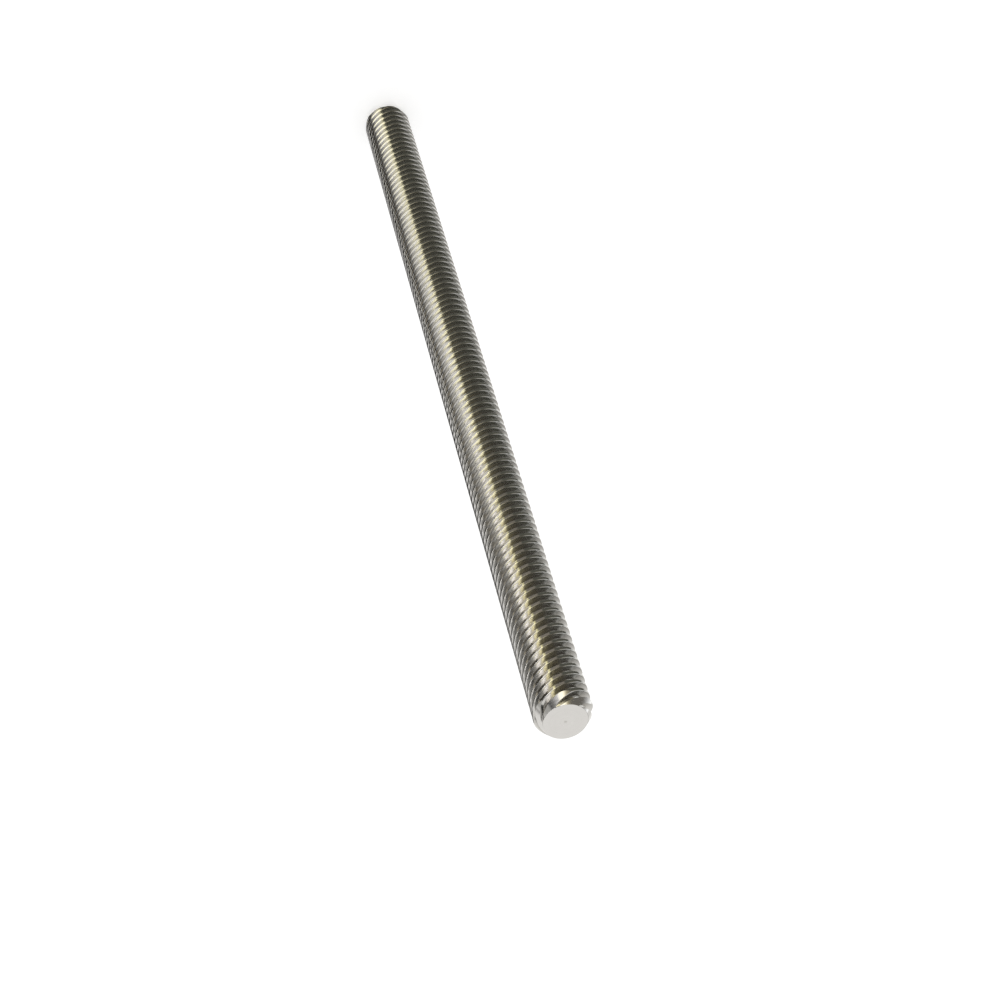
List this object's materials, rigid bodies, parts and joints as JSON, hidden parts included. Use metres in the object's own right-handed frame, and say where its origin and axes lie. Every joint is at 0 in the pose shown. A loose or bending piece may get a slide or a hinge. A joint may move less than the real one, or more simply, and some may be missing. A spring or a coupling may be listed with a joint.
{
  "type": "trapezoidal lead screw",
  "caption": "Straight steel lead screw with a multi-start trapezoidal thread over its whole length, cut square and chamfered at both ends.",
  "frame": {"origin": "centre of the lower end face", "axes": "+Z along the screw's axis, from the lower end face to the upper one; the screw stands on its lower end"},
  "size_m": [0.01, 0.01, 0.2],
  "materials": {
    "steel": "bright rolled steel"
  },
  "bodies": {
    "root": {"lead_screw": "steel"}
  },
  "joints": []
}
